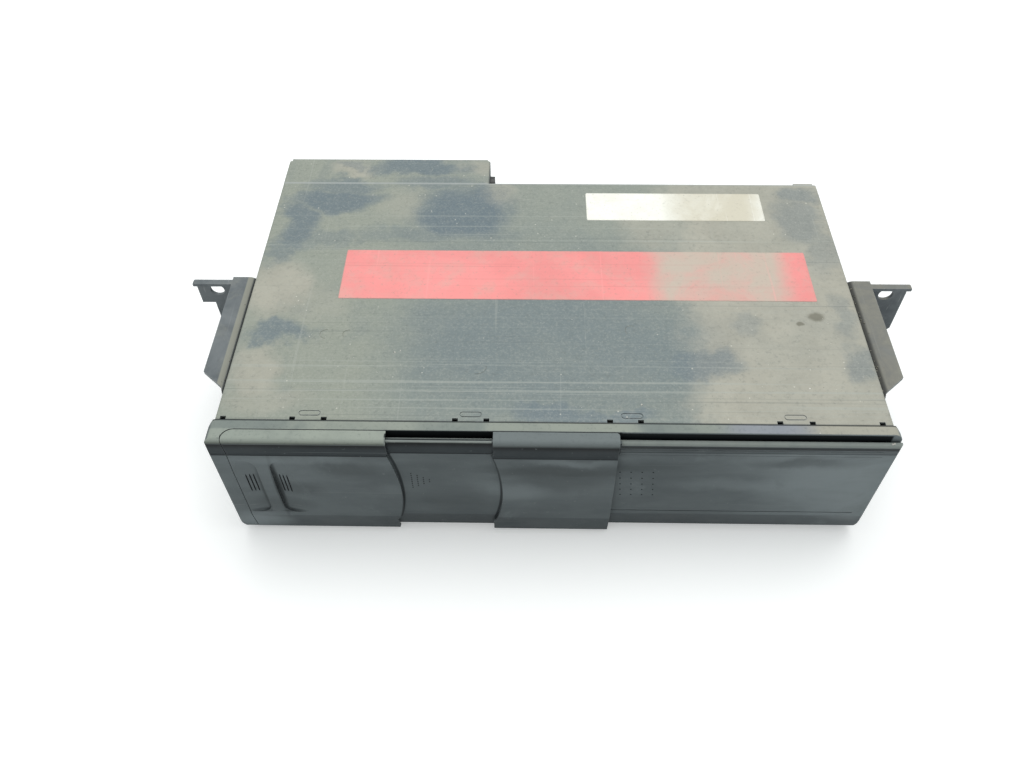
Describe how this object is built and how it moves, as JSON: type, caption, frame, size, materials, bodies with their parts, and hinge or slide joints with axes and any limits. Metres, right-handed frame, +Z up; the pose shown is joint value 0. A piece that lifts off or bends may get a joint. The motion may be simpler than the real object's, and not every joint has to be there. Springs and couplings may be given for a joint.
{
  "type": "car cd changer",
  "caption": "Trunk-mounted disc changer with sliding front doors, a disc magazine, a lifting playback deck and mounting brackets.",
  "frame": {"origin": "centre of the bounding box in plan, at the underside of the case", "axes": "+X along the width to the right seen from the front, +Y from the front to the back, +Z up"},
  "size_m": [0.311, 0.1704, 0.0661],
  "materials": {
    "bezel_plastic": "fine grain",
    "black_plastic": "moulded",
    "board_green": "solder mask",
    "component_black": "moulded",
    "cover_paint": "satin, dusty",
    "dark_paint": "satin, scratched",
    "door_plastic": "fine grain",
    "grey_plastic": "moulded",
    "lens_glass": "coated",
    "motor_steel": "plated",
    "pad_rubber": "soft",
    "red_print": "printed film",
    "rod_steel": "ground",
    "screw_steel": "plated",
    "spring_steel": "drawn",
    "white_plastic": "acetal",
    "white_print": "printed film, dirty",
    "zinc_sheet": "zinc plated"
  },
  "bodies": {
    "case": {"bottom_chassis": "zinc_sheet", "top_cover": "cover_paint", "front_bezel": "bezel_plastic", "rear_box": "cover_paint", "connector_socket": "black_plastic", "left_bracket": "dark_paint", "right_bracket": "dark_paint", "bracket_screws": "screw_steel", "cover_screws": "screw_steel", "transport_screws": "screw_steel", "red_sticker": "red_print", "white_sticker": "white_print", "magazine_shelf": "zinc_sheet", "lever_post": "zinc_sheet", "spring_stop": "zinc_sheet", "eject_spring": "spring_steel", "main_board": "board_green", "board_parts": "component_black", "board_screws": "screw_steel", "deck_frame": "zinc_sheet", "damper_pads": "pad_rubber", "lift_motor": "motor_steel"},
    "inner_door": {"inner_door": "door_plastic"},
    "outer_door": {"outer_door": "door_plastic"},
    "magazine": {"magazine_case": "black_plastic"},
    "deck": {"deck_plate": "zinc_sheet", "guide_rods": "rod_steel", "puller_rod": "rod_steel", "spindle_motor": "motor_steel", "sled_motor": "motor_steel", "clamp_pin": "rod_steel"},
    "turntable": {"turntable": "black_plastic"},
    "clamp_arm": {"clamp_arm": "zinc_sheet"},
    "clamper": {"clamper": "black_plastic"},
    "pickup": {"pickup_sled": "grey_plastic", "lens": "lens_glass"},
    "sled_gear": {"sled_gear": "white_plastic"},
    "sled_pinion": {"sled_pinion": "white_plastic"},
    "tray_puller": {"tray_puller": "white_plastic"},
    "lift_plate_front": {"lift_plate_front": "zinc_sheet"},
    "lift_plate_rear": {"lift_plate_rear": "zinc_sheet"},
    "lift_shaft": {"lift_shaft": "rod_steel"},
    "motor_pinion": {"motor_pinion": "white_plastic"},
    "eject_button": {"eject_button": "black_plastic"},
    "eject_lever": {"eject_lever": "zinc_sheet"},
    "left_dial": {"left_dial": "grey_plastic"},
    "right_dial": {"right_dial": "grey_plastic"},
    "tray_1": {"tray_1": "grey_plastic"},
    "tray_2": {"tray_2": "grey_plastic"},
    "tray_3": {"tray_3": "grey_plastic"},
    "tray_4": {"tray_4": "grey_plastic"},
    "tray_5": {"tray_5": "grey_plastic"},
    "tray_6": {"tray_6": "grey_plastic"}
  },
  "joints": [
    {"name": "inner_door_slide", "type": "slide", "parent": "case", "child": "inner_door", "axis": [1, 0, 0], "range_m": [0, 0.099]},
    {"name": "outer_door_slide", "type": "slide", "parent": "inner_door", "child": "outer_door", "axis": [1, 0, 0], "range_m": [0, 0.038]},
    {"name": "magazine_eject", "type": "slide", "parent": "case", "child": "magazine", "axis": [0, 1, 0], "range_m": [-0.013, 0]},
    {"name": "tray_1_slide", "type": "slide", "parent": "magazine", "child": "tray_1", "axis": [1, 0, 0], "range_m": [0, 0.11]},
    {"name": "tray_2_slide", "type": "slide", "parent": "magazine", "child": "tray_2", "axis": [1, 0, 0], "range_m": [0, 0.11]},
    {"name": "tray_3_slide", "type": "slide", "parent": "magazine", "child": "tray_3", "axis": [1, 0, 0], "range_m": [0, 0.11]},
    {"name": "tray_4_slide", "type": "slide", "parent": "magazine", "child": "tray_4", "axis": [1, 0, 0], "range_m": [0, 0.11]},
    {"name": "tray_5_slide", "type": "slide", "parent": "magazine", "child": "tray_5", "axis": [1, 0, 0], "range_m": [0, 0.11]},
    {"name": "tray_6_slide", "type": "slide", "parent": "magazine", "child": "tray_6", "axis": [1, 0, 0], "range_m": [0, 0.11]},
    {"name": "deck_lift", "type": "slide", "parent": "case", "child": "deck", "axis": [0, 0, -1], "range_m": [-0.034, 0]},
    {"name": "front_plate_slide", "type": "slide", "parent": "case", "child": "lift_plate_front", "axis": [1, 0, 0], "range_m": [0, 0.022]},
    {"name": "rear_plate_slide", "type": "slide", "parent": "case", "child": "lift_plate_rear", "axis": [1, 0, 0], "range_m": [0, 0.022]},
    {"name": "lift_shaft_turn", "type": "hinge", "parent": "case", "child": "lift_shaft", "pos_m": [0.02, 0, 0.0094], "axis": [0, 1, 0], "range_deg": [0, 316]},
    {"name": "motor_pinion_turn", "type": "hinge", "parent": "case", "child": "motor_pinion", "pos_m": [0.01239, -0.0628, 0.00693], "axis": [0, 1, 0], "range_deg": [-316, 0]},
    {"name": "turntable_spin", "type": "hinge", "parent": "deck", "child": "turntable", "pos_m": [0.054, 0, 0.016], "axis": [0, 0, 1], "continuous": true},
    {"name": "clamp_arm_turn", "type": "hinge", "parent": "deck", "child": "clamp_arm", "pos_m": [0.1192, 0, 0.0176], "axis": [0, -1, 0], "range_deg": [-5, 0]},
    {"name": "clamper_spin", "type": "hinge", "parent": "clamp_arm", "child": "clamper", "pos_m": [0.054, 0, 0.018], "axis": [0, 0, 1], "continuous": true},
    {"name": "pickup_slide", "type": "slide", "parent": "deck", "child": "pickup", "axis": [1, 0, 0], "range_m": [0, 0.032]},
    {"name": "sled_gear_turn", "type": "hinge", "parent": "deck", "child": "sled_gear", "pos_m": [0.087, 0.0234, 0.0094], "axis": [0, 0, 1], "range_deg": [0, 288]},
    {"name": "sled_pinion_turn", "type": "hinge", "parent": "deck", "child": "sled_pinion", "pos_m": [0.087, 0.0338, 0.0094], "axis": [0, 0, 1], "range_deg": [-460, 0]},
    {"name": "puller_slide", "type": "slide", "parent": "deck", "child": "tray_puller", "axis": [1, 0, 0], "range_m": [0, 0.09]},
    {"name": "button_press", "type": "slide", "parent": "case", "child": "eject_button", "axis": [0, 1, 0], "range_m": [0, 0.0025], "stiffness_N_per_m": 200, "springref_m": -0.0005, "deforming": ["eject_spring"]},
    {"name": "lever_turn", "type": "hinge", "parent": "case", "child": "eject_lever", "pos_m": [-0.07, -0.06, 0.0125], "axis": [0, 0, 1], "range_deg": [-8.6, 0]},
    {"name": "left_dial_turn", "type": "hinge", "parent": "case", "child": "left_dial", "pos_m": [-0.127, 0.038, 0.033], "axis": [-1, 0, 0], "range_deg": [0, 90]},
    {"name": "right_dial_turn", "type": "hinge", "parent": "case", "child": "right_dial", "pos_m": [0.127, 0.038, 0.033], "axis": [1, 0, 0], "range_deg": [0, 90]}
  ],
  "couplings": [
    {"joint": "front_plate_slide", "follows": "deck_lift", "ratio": -0.64706},
    {"joint": "rear_plate_slide", "follows": "deck_lift", "ratio": -0.64706},
    {"joint": "lift_shaft_turn", "follows": "deck_lift", "rad_per_m": -161.76},
    {"joint": "motor_pinion_turn", "follows": "deck_lift", "rad_per_m": 161.76},
    {"joint": "sled_gear_turn", "follows": "pickup_slide", "rad_per_m": 156.25},
    {"joint": "sled_pinion_turn", "follows": "pickup_slide", "rad_per_m": -250},
    {"joint": "clamper_spin", "follows": "turntable_spin", "ratio": 1},
    {"joint": "lever_turn", "follows": "button_press", "rad_per_m": -58.824}
  ]
}
